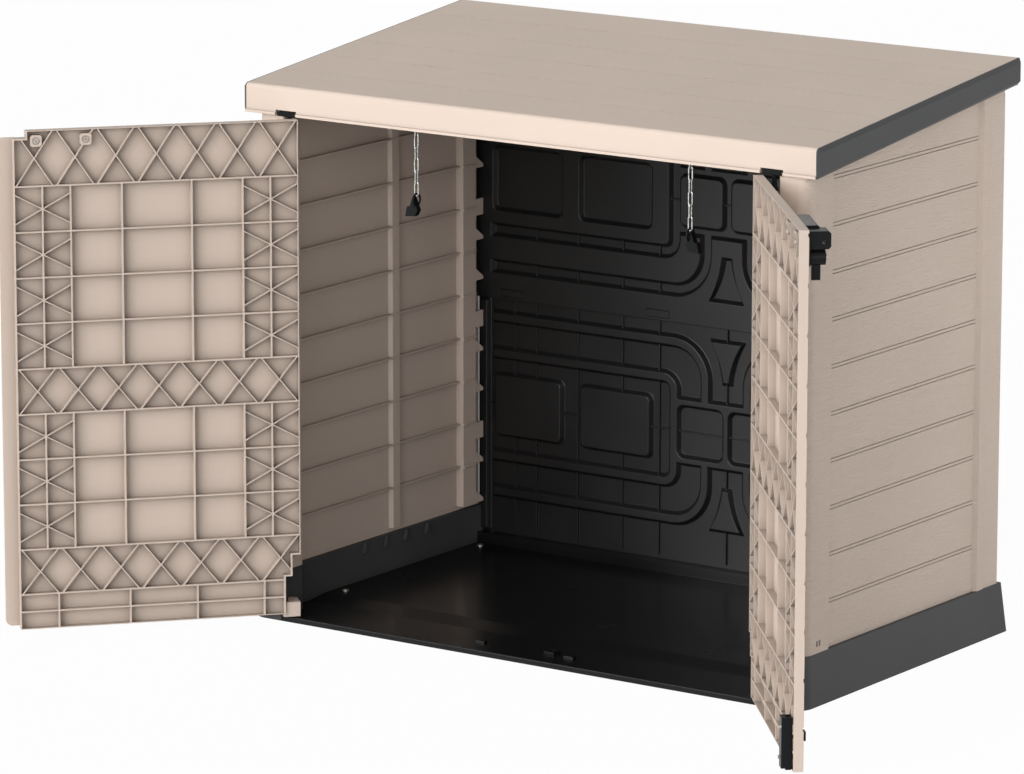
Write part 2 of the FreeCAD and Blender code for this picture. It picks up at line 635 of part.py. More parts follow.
def side_panel():
    upright = ("base_height", LID_PEAK)
    shell = [box("side_plate", (INNER, OUTER), ("-front_reach", "rear_reach"), upright),
             box("post_front", (POST_IN, OUTER), ("-front_reach", "-front_reach + post_wall"), upright),
             box("post_return", (POST_IN, "%s + post_wall" % POST_IN), ("-front_reach", POST_BACK), upright),
             box("side_tongue", ("%s + slack" % INNER, "%s + slack + tongue" % INNER),
                 ("%s + 2 * slack" % POST_BACK, "rear_reach - slack"), (TONGUE_FOOT, "base_height + 1"))]
    sunk, beyond = "%s - field_depth" % OUTER, "%s + field_depth" % OUTER
    reliefs = [box("rear_post_step", ("%s - rear_band_step" % OUTER, "base_width"),
                   ("field_rear + rear_band", "base_depth"), ("base_height", LID_PEAK + " + 1")),
               outline_body("plank_field", "XY_Plane", [
                   (sunk, "-field_front"), (beyond, "-field_front"), (beyond, "field_rear + field_depth"),
                   (sunk, "field_rear - field_depth")], "base_height", LID_PEAK + " + 1")]
    for k in range(1, PLANKS):
        for side in ("-", "+"):
            line = "%s %s plank_gap / 2" % (plank_line(k), side)
            reliefs.append(box("plank_groove", ("%s - groove_depth" % sunk, "base_width"),
                               ("-field_front", "field_rear - field_depth"),
                               wider((line, line), "plank_line_width / 2")))
    plain = cut("side_planked", fuse("side_shell", shell), reliefs)
    x, y_front, y_rear = number(OUTER), -size["front_reach"], size["rear_reach"]
    corners = [(V(x, y_front, 0), size["post_round"]),
               (V(number(POST_IN), y_front, 0), size["post_wall"] * 0.8),
               (V(x - size["rear_band_step"], y_rear, 0), size["wall"] * 0.45)]
    rounded_shell = rounded("side_rounded", plain, corners, V(0, 0, 1))
    body = fuse("side_body", [rounded_shell] + side_ribs() + side_tabs())
    over = slope(box("side_over", ("0", "base_width"), ("-lid_front", "base_depth * 2"),
                     (lid_top("-lid_front") + " - lid_skin - lid_headroom", "base_depth * 3")))
    seat = box("hinge_notch", ("0", "pivot_x + hinge_plate_out + slack"),
               ("-base_depth", "-pivot_y - hinge_plate_front + hinge_plate_depth + slack"),
               ("hinge_seat", "base_depth * 3"))
    rear = box("lid_notch", ("0", "base_width"), ("lid_pivot_y - lid_lug_radius + lid_lug_gap", "base_depth"),
               ("lid_pivot_z - lid_lug_radius - lid_lug_gap", "base_depth * 3"))
    slots = []
    for k in (0, 1):
        y = "-front_reach + post_slot_back + %d * post_slot_spacing" % k
        low = "base_height + post_slot_rise"
        slots.append(box("post_slot_hole", ("%s - post_wall" % OUTER, "base_width"),
                         (y, y + " + post_slot"), (low, low + " + post_slot_height")))
    pair(cut("side_cut", body, [over, seat, rear] + slots), "side_panel")


# Back panels

def pad_path(x0, x1, v0, v1, corner, draw):
    """Corners and bends round a rectangle with round corners, drawn in by a distance."""
    x0, x1, v0, v1, r = x0 + draw, x1 - draw, v0 + draw, v1 - draw, corner - draw
    lean = r * (1 - math.sqrt(0.5))
    return [((x1 - r, v0),), ((x1 - lean, v0 + lean), (x1, v0 + r)),
            ((x1, v1 - r),), ((x1 - lean, v1 - lean), (x1 - r, v1)),
            ((x0 + r, v1),), ((x0 + lean, v1 - lean), (x0, v1 - r)),
            ((x0, v0 + r),), ((x0 + lean, v0 + lean), (x0 + r, v0))]


def band_path(run, rise, end, bend, draw):
    """A band from its outer end, level, round one bend to an upright stretch, drawn in by a distance."""
    way = 1 if end > run else -1
    x, v = rise + bend, run + way * bend
    wide, narrow = bend + size["band"] / 2 - draw, bend - size["band"] / 2 + draw
    far, stop = size["band_end"] - draw, end - way * draw
    lean = math.sqrt(0.5)

    def bend_middle(radius):
        return x - radius * lean, v - way * radius * lean

    return [((x, v - way * wide),), (bend_middle(wide), (x - wide, v)), ((x - wide, stop),),
            ((x - narrow, stop),), ((x - narrow, v),), (bend_middle(narrow), (x, v - way * narrow)),
            ((far, v - way * narrow),), ((far, v - way * wide),)]


def bell_path(wide, narrow, foot, waist, head, waist_at, draw):
    """A bell with hollow sides about the middle, drawn in by a distance."""
    way = 1 if narrow > wide else -1
    low, high = wide + way * draw, narrow - way * draw
    foot, waist, head = foot - draw, waist - draw, head - draw
    return [((foot, low),), ((waist, waist_at), (head, high)), ((-head, high),),
            ((-waist, waist_at), (-foot, low))]


def moulded_form(path, sunk, islands=()):
    """A form with sloping sides that sinks into the upper back panel, or stands out of the lower one.

    Islands in it keep the level around it.
    """
    high = number(BACK_FACE)
    low = high + size["relief"]
    wide, narrow = (high - 1, low) if sunk else (low + 1, high)
    seam = size["back_seam"] + (size["upper_rise"] if sunk else 0)
    way = 1 if sunk else -1

    def outline(course, draw, y):
        steps = course(draw)
        last = V(steps[-1][-1][0], y, seam + way * steps[-1][-1][1])
        edges = []
        for step in steps:
            places = [last] + [V(x, y, seam + way * v) for x, v in step]
            curve = Part.makeLine(*places) if len(places) == 2 else Part.Arc(*places).toShape()
            edges.append(curve)
            last = places[-1]
        return Part.Wire(edges)

    draft = size["relief_slope"]
    over = draft / size["relief"]
    form = Part.makeLoft([outline(path, -over, wide), outline(path, draft, narrow)], True, True)
    for island in islands:
        ends = [outline(island, draft + over, wide), outline(island, 0, narrow)]
        form = form.cut(Part.makeLoft(ends, True, True))
    return form


def flipped(form):
    """A band or bell of the near half of a back panel, turned over for the far half."""
    return {key: 2 * FORM_MIDDLE - value if key in ("run", "end", "wide", "narrow", "waist_at") else value
            for key, value in form.items()}


def moulded_forms(sunk):
    """Every form of one back panel."""
    corner = size["relief_slope"] + 1
    sides = [lambda draw, pad=pad: pad_path(*pad, *PAD_ROWS, size["pad_corner"], draw) for pad in PADS]
    for band in (OUTER_BAND, INNER_BAND):
        sides += [lambda draw, form=form: band_path(**form, draw=draw) for form in (band, flipped(band))]
    if not sunk:
        edge = number(INNER) - size["slack"]
        foot = size["back_seam"] - size["ledge_top"]
        sides.append(lambda draw: pad_path(SIDE_BORDER, edge, 0, foot, corner, max(draw, 0)))
    squares = [lambda draw, square=square: pad_path(*square, size["square_corner"], draw)
               for square in SQUARES]
    bells = [lambda draw, form=form: bell_path(**form, draw=draw) for form in (BELL, flipped(BELL))]
    forms = [moulded_form(path, sunk) for path in sides]
    forms += [form.mirror(V(), V(1, 0, 0)) for form in forms]
    forms.append(moulded_form(lambda draw: pad_path(*MIDDLE_FIELD, corner, draw), sunk, squares))
    return forms + [moulded_form(path, sunk) for path in bells]


def fine_ribs(name, sunk):
    """Fine ribs that cross the low parts of a back panel."""
    low = "%s + relief" % BACK_FACE
    depth = (low + " - relief / 2", low + " + 1")
    if sunk:
        columns, reach = FINE_RIBS, CROSS_REACH
        tall = ["back_seam + upper_rise + %d" % v for v in FINE_REACH]
        level = "back_seam + upper_rise + %d" % FORM_MIDDLE
    else:
        columns, reach = (0,) + FINE_RIBS + (EDGE_RIB,), SIDE_BORDER
        tall = ["ledge_top + relief", "back_seam"]
        level = "back_seam - %d" % FORM_MIDDLE
    places = sorted({side * x for x in columns for side in (-1, 1)})
    ribs = [box(name + "_fine_rib", wider((str(x), str(x)), "back_line / 2"), depth, tall) for x in places]
    ribs.append(box(name + "_level_rib", (-reach, reach), depth, wider((level, level), "back_line / 2")))
    return ribs


def back_panel(name, low, high, sunk):
    across = ("-(%s - slack)" % INNER, "%s - slack" % INNER)
    front = BACK_FACE if sunk else "%s + relief" % BACK_FACE
    blank = box(name + "_blank", across, (front, BACK_REAR), (low, high))
    forms = [solid(name + "_form", form) for form in moulded_forms(sunk)]
    ribs = fine_ribs(name, sunk)
    if sunk:
        seats = [box(name + "_clip_seat", wider(clip_across(x), "slack"), (BACK_FACE + " - 1", CLIP_BACK),
                     wider(CLIP_TALL, "slack")) for x in clip_places()]
        return fuse(name + "_body", [cut(name + "_wells", blank, forms + seats)] + ribs)
    corners = [box(name + "_rail_corner", places, ("0", "base_depth"), (0, "rail_wall_top + slack"))
               for places in both_ways("%s - slack" % RAIL_IN, "base_width")]
    return cut(name + "_cut", fuse(name + "_body", [blank] + forms + ribs), corners)


CLIP_BACK = "%s + clip_seat" % BACK_FACE
CLIP_TALL = ("back_seam + clip_rise", "back_seam + clip_rise + clip_height")


def clip_places():
    return [side * x for x in CLIPS for side in (-1, 1)]


def clip_across(x):
    return "%d - clip_width / 2" % x, "%d + clip_width / 2" % x


def back_panels():
    keep(back_panel("back_panel_upper", "back_seam", "back_top", True), "back_panel_upper")
    keep(back_panel("back_panel_lower", "ledge_top", "back_seam", False), "back_panel_lower")
    clips = [box("seam_clip", clip_across(x), (CLIP_BACK + " - clip_thickness", CLIP_BACK), CLIP_TALL)
             for x in clip_places()]
    group = doc.addObject("Part::Compound", "seam_clip_group")
    group.Links = clips
    keep(group, "back_panel_clips")


# Hinges of the carcass

def top_hinge():
    plate = box("hinge_plate_block", ("pivot_x - hinge_plate_in", "pivot_x + hinge_plate_out"),
                ("-pivot_y - hinge_plate_front", "-pivot_y - hinge_plate_front + hinge_plate_depth"),
                ("hinge_seat", "hinge_seat + hinge_plate"))
    pin = rod("hinge_pin", "pin_radius", "pivot_x", "-pivot_y",
              ("hinge_seat - hinge_pin_drop", "hinge_seat + 1"))
    pair(fuse("hinge_body", [plate, pin]), "top_hinge")


LID_BRACKET_IN = "%s - bracket" % INNER


def lid_hinge():
    across = (LID_BRACKET_IN, INNER)
    top = "lid_pivot_z + lid_lug_radius"
    foot = box("lid_bracket_foot", across, ("%s - bracket_depth" % BACK_FACE, "%s - slack" % BACK_FACE),
               ("back_top - bracket_foot", top))
    arm = box("lid_bracket_arm", across, ("%s - 1" % BACK_FACE, "lid_pivot_y + lid_lug_radius - lid_lug_gap"),
              ("back_top + slack", top))
    pin = rod("lid_pin", "lid_pin_radius", ("%s - lid_lug_width - 2 * lid_lug_gap" % LID_BRACKET_IN, INNER),
              "lid_pivot_y", "lid_pivot_z")
    pair(fuse("lid_bracket", [foot, arm, pin]), "lid_hinge")


# Doors, closed, with the pivot as origin

FREE_EDGE = "-(pivot_x - centre_gap)"
DOOR_INNER = "face_set + door_thickness"


def inset(points):
    """A convex polygon, given anticlockwise, drawn in by half the rib along each side."""
    lines = []
    for (ax, az), (bx, bz) in zip(points, points[1:] + points[:1]):
        long = math.hypot(bx - ax, bz - az)
        by = size["door_rib" if ax == bx or az == bz else "door_brace"] / 2
        nx, nz = -(bz - az) / long, (bx - ax) / long
        lines.append((nx, nz, nx * ax + nz * az + by))
    result = []
    for (a1, b1, c1), (a2, b2, c2) in zip(lines[-1:] + lines[:-1], lines):
        det = a1 * b2 - a2 * b1
        result.append(((c1 * b2 - c2 * b1) / det, (a1 * c2 - a2 * c1) / det))
    return result


def rib_cells():
    """The hollows between a door's ribs: closed polygons across the door from its hinge edge, and up."""
    width = number("hinge_edge - %s" % FREE_EDGE)
    rows = [number("%s - rib_drop" % plank_line(k)) for k in range(PLANKS - 1)]
    bottom, top = size["door_bottom"], size["door_top"]
    side, inner = size["edge_column"], size["inner_column"]
    cells = []

    def crossed_band(z0, z1):
        step, gap = width / DIAMONDS, size["cross_gap"] / 2
        middle = (z0 + z1) / 2
        for k in range(DIAMONDS):
            left, right = k * step, (k + 1) * step
            centre = (left + step / 2, middle)
            cells.append([(left + gap, z0), (right - gap, z0), centre])
            cells.append([(right - gap, z1), (left + gap, z1), centre])
            if k:
                cells.append([(left - step / 2, middle), (left - gap, z0), (left + gap, z0),
                              centre, (left + gap, z1), (left - gap, z1)])
        cells.append([(0, z0), (gap, z0), (step / 2, middle), (gap, z1), (0, z1)])
        cells.append([(width, z1), (width - gap, z1), (width - step / 2, middle),
                      (width - gap, z0), (width, z0)])

    def crossed_column(u0, u1, z0, z1):
        middle, centre = (u0 + u1) / 2, ((u0 + u1) / 2, (z0 + z1) / 2)
        low, high = z0 + size["brace_inset"], z1 - size["brace_inset"]
        cells.append([(u0, z0), (middle, z0), centre, (u0, low)])
        cells.append([(middle, z0), (u1, z0), (u1, low), centre])
        cells.append([(middle, z1), (u0, z1), (u0, high), centre])
        cells.append([(u1, z1), (middle, z1), centre, (u1, high)])
        cells.append([(u0, low), centre, (u0, high)])
        cells.append([(u1, high), centre, (u1, low)])

    def plain(u0, u1, z0, z1):
        cells.append([(u0, z0), (u1, z0), (u1, z1), (u0, z1)])

    for z0, z1 in ((rows[0], rows[1]), (rows[4], rows[5]), (rows[9], top)):
        crossed_band(z0, z1)
    columns = [side, side + inner, width - side - inner, width - side]
    for k in (1, 2, 3, 5, 6, 7, 8):
        crossed_column(0, side, rows[k], rows[k + 1])
        crossed_column(width - side, width, rows[k], rows[k + 1])
        for u0, u1 in zip(columns, columns[1:]):
            plain(u0, u1, rows[k], rows[k + 1])
    split = (bottom + rows[0]) / 2
    feet = [width * part for part in (0, 0.13, 0.37, 0.61, 0.864, 1)]
    for u0, u1 in zip(feet, feet[1:]):
        plain(u0, u1, bottom, split)
        plain(u0, u1, split, rows[0])
    return [inset(cell) for cell in cells]


def latch_screw_place(index):
    return "%s + screw_first + %d * screw_spacing" % (FREE_EDGE, index)


SCREW_Z = "door_top - screw_drop"
HEAD_SEAT = "%s - boss_sink" % DOOR_INNER
BOLT_LOCAL = "bolt_x - pivot_x"
BOLT_ACROSS = ("%s - bolt_width / 2" % BOLT_LOCAL, "%s + bolt_width / 2" % BOLT_LOCAL)
KNOB = ("door_bottom + knob_rise", "door_bottom + knob_rise + knob_stem")
GUIDE_BOTTOM = "door_bottom + guide_rise"
GUIDE_TOP = "door_bottom + guide_rise + guide_length"
GUIDE_SIDE = "guide_width / 2 - guide_screw_inset"
GUIDE_SCREWS = (("%s + (%s)" % (BOLT_LOCAL, GUIDE_SIDE), GUIDE_BOTTOM + " + guide_screw_end"),
                ("%s - (%s)" % (BOLT_LOCAL, GUIDE_SIDE), GUIDE_TOP + " - guide_screw_end"))
UPPER_LUG = ("hinge_seat - hinge_pin_drop", "hinge_seat - hinge_pin_drop + lug_height")
FOOT_LUG = ("foot_lug_bottom", "foot_lug_top")


def door_slab(name):
    """The panel of a door before its fittings: skin, ribs and the notches beside its hinge edge."""
    depth = ("face_set", DOOR_INNER)
    slab = box(name + "_slab", (FREE_EDGE, "hinge_edge"), depth, ("door_bottom", "door_top"))
    start, y = size["hinge_edge"], number("face_set + door_skin")
    hollow = [prism([V(start - u, y, z) for u, z in cell], V(0, size["door_thickness"], 0))
              for cell in rib_cells()]
    ribbed = cut(name + "_ribbed", slab, [solid(name + "_hollows", Part.makeCompound(hollow))])
    wide, narrow = "hinge_edge - notch_low_width", "hinge_edge - notch_high_width"
    walls = [((wide + " - door_rib", wide), ("door_bottom", "notch_low")),
             ((wide + " - door_rib", narrow), ("notch_low", "notch_low + door_rib")),
             ((narrow + " - door_rib", narrow), ("notch_low", "notch_high")),
             ((narrow + " - door_rib", "hinge_edge"), ("notch_high", "notch_high + door_rib"))]
    added = [box(name + "_wall", across, depth, tall) for across, tall in walls]
    for k in (0, 1):
        across = wider((latch_screw_place(k), latch_screw_place(k)), "boss / 2")
        tall = wider((SCREW_Z, SCREW_Z), "boss / 2")
        block = box(name + "_boss_block", across, ("face_set + 1", DOOR_INNER), tall)
        corners = [(V(number(x), 0, number(z)), size["boss_round"]) for x in across for z in tall]
        added.append(rounded(name + "_boss", block, corners, V(0, 1, 0)))
    through = ("0", "base_depth")
    removed = [box(name + "_notch", (narrow, "base_width"), through, ("0", "notch_high")),
               box(name + "_notch", (wide, "base_width"), through, ("0", "notch_low"))]
    return ribbed, added, removed


def left_extras(name):
    """The strip that covers the gap between the doors, and the stepped top corner beside it."""
    depth = ("face_set", DOOR_INNER)
    step = "%s + corner_step" % FREE_EDGE
    sill = "door_top - cover_strip_inset"
    front = "face_set - cover_strip_gap"
    strip_z = ("door_bottom + cover_strip_foot", sill)
    strip_x = ("%s - cover_strip" % FREE_EDGE, "%s + 2 * door_rib" % FREE_EDGE)
    added = [box(name + "_wall", (FREE_EDGE, step + " + door_rib"), depth, (sill + " - door_rib", sill)),
             box(name + "_wall", (step, step + " + door_rib"), depth, (sill, "door_top")),
             rounded(name + "_strip", box(name + "_strip_bar", strip_x,
                                          (front + " - cover_strip_thickness", front), strip_z),
                     [(V(number(strip_x[0]), 0, number(strip_z[0])), size["cover_strip_round"])], V(0, 1, 0)),
             box(name + "_strip_foot", (FREE_EDGE, strip_x[1]), (front + " - 1", "face_set + 1"), strip_z)]
    removed = [box(name + "_step", ("-base_width", step), ("0", "base_depth"), (sill, "base_depth * 3"))]
    return added, removed


def door_panel(hand):
    """The panel of one hand, modelled on the right."""
    name = hand + "_door"
    ribbed, added, removed = door_slab(name)
    if hand == "left":
        more, less = left_extras(name)
        added, removed = added + more, removed + less
    else:
        added += [rod(name + "_guide_boss", "screw_radius * 2", x, ("face_set + 1", DOOR_INNER), z)
                  for x, z in GUIDE_SCREWS]
    trimmed = cut(name + "_trimmed", fuse(name + "_body", [ribbed] + added), removed)
    neck = ("-lug_radius", "hinge_edge"), ("0", "face_set + door_skin")
    arm_y, arm_end = ("face_set", "face_set + 3 * door_skin"), "hinge_edge - notch_low_width - door_rib"
    lugs = [rod(name + "_lug", "lug_radius", 0, 0, UPPER_LUG), box(name + "_neck", *neck, UPPER_LUG),
            rod(name + "_foot_lug", "lug_radius", 0, 0, FOOT_LUG), box(name + "_foot_neck", *neck, FOOT_LUG),
            box(name + "_foot_arm", (arm_end, "hinge_edge"), arm_y, FOOT_LUG)]
    joined = fuse(name + "_joined", [trimmed] + lugs)
    through = ("0", "base_depth")
    bores = [rod(name + "_bore", "pin_radius + running", 0, 0, (0, "base_depth * 3"))]
    for k in (0, 1):
        x = latch_screw_place(k)
        bores += [rod(name + "_screw_bore", "screw_radius + running", x, through, SCREW_Z),
                  rod(name + "_screw_sink", "boss_bore", x, (HEAD_SEAT, "base_depth"), SCREW_Z)]
    groove_y = ("face_set - 0.1", "face_set + door_groove")
    bores += [box(name + "_groove", ("-base_width", "base_width"), groove_y, plank_groove(k))
              for k in range(PLANKS)]
    if hand == "right":
        deep = (DOOR_INNER + " - guide_screw_depth - slack", "base_depth")
        bores += [rod(name + "_guide_bore", "screw_radius + running", x, deep, z) for x, z in GUIDE_SCREWS]
        bores.append(box(name + "_bolt_slot", BOLT_ACROSS, through,
                         ("%s - bolt_travel - knob_margin" % KNOB[0], "%s + knob_margin" % KNOB[1])))
    return on_door(cut(name + "_cut", joined, bores))


def screw_group(name, screws):
    group = doc.addObject("Part::Compound", name)
    group.Links = screws
    return on_door(group)


SCREW_END = "face_set - screw_bite"
CROSS = ("latch_head * 0.65", "cross_slot / 2")


def latch_screws(hand):
    """Screws through a door's bosses into the plate on its outer face."""
    screws = []
    for k in (0, 1):
        x = latch_screw_place(k)
        crown = HEAD_SEAT + " + screw_head_height"
        shank = rod(hand + "_latch_shank", "screw_radius", x, (SCREW_END, HEAD_SEAT + " + 1"), SCREW_Z)
        head = rod(hand + "_latch_head", "latch_head", x, (HEAD_SEAT, crown), SCREW_Z)
        slots = [box(hand + "_latch_cross", wider((x, x), across), (crown + " - cross_slot", crown + " + 1"),
                     wider((SCREW_Z, SCREW_Z), tall))
                 for across, tall in (CROSS, CROSS[::-1])]
        screws.append(cut(hand + "_latch_screw", fuse(hand + "_latch_turned", [shank, head]), slots))
    return screw_group(hand + "_latch_screw_group", screws)


def plate_holes(hand):
    return [rod(hand + "_plate_hole", "screw_radius + running", latch_screw_place(k),
                (SCREW_END + " - slack", "face_set + 1"), SCREW_Z) for k in (0, 1)]


PLATE_FACE = "face_set - plate_thickness"
PLATE_TOP = "door_top - plate_drop"
PLATE_END = "%s + plate_margin" % latch_screw_place(1)
LATCH_LOCAL = "latch_x - pivot_x"
LEVER_ACROSS = ("%s - lever_width / 2" % LATCH_LOCAL, "%s + lever_width / 2" % LATCH_LOCAL)
LEVER_FRONT = "%s - lever_clear - lever_depth" % PLATE_FACE


def latch_keeper():
    near = "%s + 1" % FREE_EDGE
    hook_x = (near, near + " + hook_width")
    hook_y = ("%s - lever_clear / 2 - hook_wall" % LEVER_FRONT, "%s - lever_clear / 2" % LEVER_FRONT)
    over_lever = "latch_z + lever_width / 2 + lever_clear"
    plate_foot = "%s - plate_height" % PLATE_TOP
    plate = box("keeper_plate", (near, PLATE_END), (PLATE_FACE, "face_set"),
                (plate_foot, "door_top - cover_strip_inset - slack"))
    bridge = box("keeper_bridge", hook_x, (hook_y[0], "face_set"), (over_lever, plate_foot + " + 1"))
    hook = box("keeper_hook", hook_x, hook_y, ("latch_z - lever_width", over_lever + " + 1"))
    strip_front = "face_set - cover_strip_gap - cover_strip_thickness - slack"
    clear = box("keeper_strip_gap", ("-base_width", "%s + 2 * door_rib + slack" % FREE_EDGE),
                (strip_front, "base_depth"), ("0", "base_depth * 3"))
    body = fuse("keeper_body", [plate, bridge, hook])
    mirrored("latch_keeper", on_door(cut("keeper_cut", body, [clear] + plate_holes("left"))))


def fitting(name, front, back, low, high, near, far):
    """A block of the latch whose outer corners are bevelled along the door."""
    return outline_body(name, "YZ_Plane", [
        (back, low), (back, high), (front + " + fitting_bevel", high), (front, high + " - fitting_bevel"),
        (front, low + " + fitting_bevel"), (front + " + fitting_bevel", low)], near, far)


def latch_plate():
    near = "%s - lever_hub" % LATCH_LOCAL
    hub_top = "latch_z + lever_hub + block_gap"
    flat = (PLATE_FACE, "face_set")
    plate = box("latch_plate_top", (near, PLATE_END), flat, ("%s - plate_height" % PLATE_TOP, PLATE_TOP))
    drop = box("latch_plate_drop", (near, near + " + 2 * lever_hub"), flat,
               ("latch_z - lever_hub", PLATE_TOP))
    shelf = fitting("latch_shelf", PLATE_FACE + " - shelf_depth", "face_set",
                    PLATE_TOP + " + shelf_thickness - shelf_height", PLATE_TOP + " + shelf_thickness",
                    near + " + shelf_start", PLATE_END)
    block = fitting("latch_block", PLATE_FACE + " - block_depth", "face_set", hub_top, PLATE_TOP,
                    near, near + " + block_width")
    eye = rod("latch_padlock_eye", "eye_hole", (near + " - 1", near + " + block_width + 1"),
              PLATE_FACE + " - block_depth + 2.5 * eye_hole", hub_top + " + 2.5 * eye_hole")
    pin_hole = rod("latch_pin_hole", "lever_pin_radius + running", LATCH_LOCAL,
                   ("-base_depth", "base_depth"), "latch_z")
    body = fuse("latch_plate_body", [plate, drop, shelf, block])
    keep(on_door(cut("latch_plate_cut", body, [eye, pin_hole] + plate_holes("right"))), "latch_plate")


def latch_lever():
    hub_back, hub_front = PLATE_FACE + " - slack", PLATE_FACE + " - slack - lever_hub_depth"
    hub = rod("lever_hub_round", "lever_hub", LATCH_LOCAL, (hub_front, hub_back), "latch_z")
    arm_y = (LEVER_FRONT, PLATE_FACE + " - lever_clear")
    arm = box("lever_arm", LEVER_ACROSS, arm_y, ("latch_z - lever_length + lever_width / 2", "latch_z"))
    tip = rod("lever_tip", "lever_width / 2", LATCH_LOCAL, arm_y, "latch_z - lever_length + lever_width / 2")
    bore = rod("lever_bore", "lever_pin_radius + running", LATCH_LOCAL,
               ("-base_depth", "base_depth"), "latch_z")
    keep(on_door(cut("lever_cut", fuse("lever_body", [hub, arm, tip]), [bore])), "latch_lever")
    head_back = hub_front + " - slack"
    stem = rod("lever_pin_stem", "lever_pin_radius", LATCH_LOCAL, (head_back + " - 1", "face_set"), "latch_z")
    head = rod("lever_pin_head", "lever_pin_radius * 2", LATCH_LOCAL,
               (head_back + " - screw_head_height", head_back), "latch_z")
    keep(on_door(fuse("lever_pin_body", [stem, head])), "lever_pin")


def sliding_bolt():
    guide_back = DOOR_INNER + " + guide_depth"
    guide = box("guide_block", ("%s - guide_width / 2" % BOLT_LOCAL, "%s + guide_width / 2" % BOLT_LOCAL),
                (DOOR_INNER, guide_back), (GUIDE_BOTTOM, GUIDE_TOP))
    bore = box("guide_channel", wider(BOLT_ACROSS, "slack"), ("0", DOOR_INNER + " + 2 * slack + bolt_depth"),
               ("0", "base_depth"))
    holes = [rod("guide_hole", "screw_radius + running", x, ("0", "base_depth"), z) for x, z in GUIDE_SCREWS]
    keep(on_door(cut("guide_cut", guide, [bore] + holes)), "bolt_guide")
    screws = []
    for x, z in GUIDE_SCREWS:
        shank = rod("guide_shank", "screw_radius", x,
                    (DOOR_INNER + " - guide_screw_depth", guide_back + " + 1"), z)
        head = rod("guide_head", "screw_radius * 1.4", x,
                   (guide_back, guide_back + " + screw_head_height"), z)
        screws.append(fuse("guide_screw", [shank, head]))
    keep(screw_group("guide_screw_group", screws), "bolt_guide_screws")
    knob_back = "face_set - slack"
    rail = box("bolt_rail", BOLT_ACROSS, (DOOR_INNER + " + slack", DOOR_INNER + " + slack + bolt_depth"),
               ("door_bottom - 1", "door_bottom - 1 + bolt_length"))
    stem = box("bolt_stem", (BOLT_ACROSS[0] + " + bolt_width / 4", BOLT_ACROSS[1] + " - bolt_width / 4"),
               (knob_back + " - 1", DOOR_INNER + " + 1"), KNOB)
    knob = box("bolt_knob", wider(BOLT_ACROSS, "knob_margin"), (knob_back + " - knob_depth", knob_back),
               wider(KNOB, "knob_margin"))
    keep(on_door(fuse("bolt_body", [rail, stem, knob])), "slide_bolt")


def doors():
    keep(door_panel("right"), "right_door_panel")
    mirrored("left_door_panel", door_panel("left"))
    keep(latch_screws("right"), "latch_plate_screws")
    mirrored("keeper_screws", latch_screws("left"))
    pin = on_door(rod("pivot_pin", "pin_radius", 0, 0, ("slack", "foot_lug_top - 2")))
    pair(pin, "pivot_pin")


# Lid

def lid_shell():
    """The sloping top with its fascia and rear wall, rounded at the front inside and out."""
    rear_foot = "lid_pivot_z + lid_lug_radius + lid_lug_gap"
    y_in, y_out = "-lid_front + lid_skin", "-lid_front"
    under = {y: "%s - lid_skin" % lid_top(y) for y in (y_in, "lid_rear - lid_skin")}
    shell = outline_body("lid_profile", "YZ_Plane", [
        (y_out, "fascia_bottom"), (y_in, "fascia_bottom"), (y_in, under[y_in]),
        ("lid_rear - lid_skin", under["lid_rear - lid_skin"]), ("lid_rear - lid_skin", rear_foot),
        ("lid_rear", rear_foot), ("lid_rear", LID_PEAK), (y_out, lid_top(y_out))], "-(%s)" % LID_END, LID_END)
    dress(shell, "Fillet", "Radius", "lid_round", along_x(number(y_out), number(lid_top(y_out))))
    dress(shell, "Fillet", "Radius", "lid_round - lid_skin", along_x(number(y_in), number(under[y_in])))
    return shell


def both_ways(near, far):
    """A stretch across on the right, and its twin on the left."""
    return (near, far), ("-(%s)" % far, "-(%s)" % near)


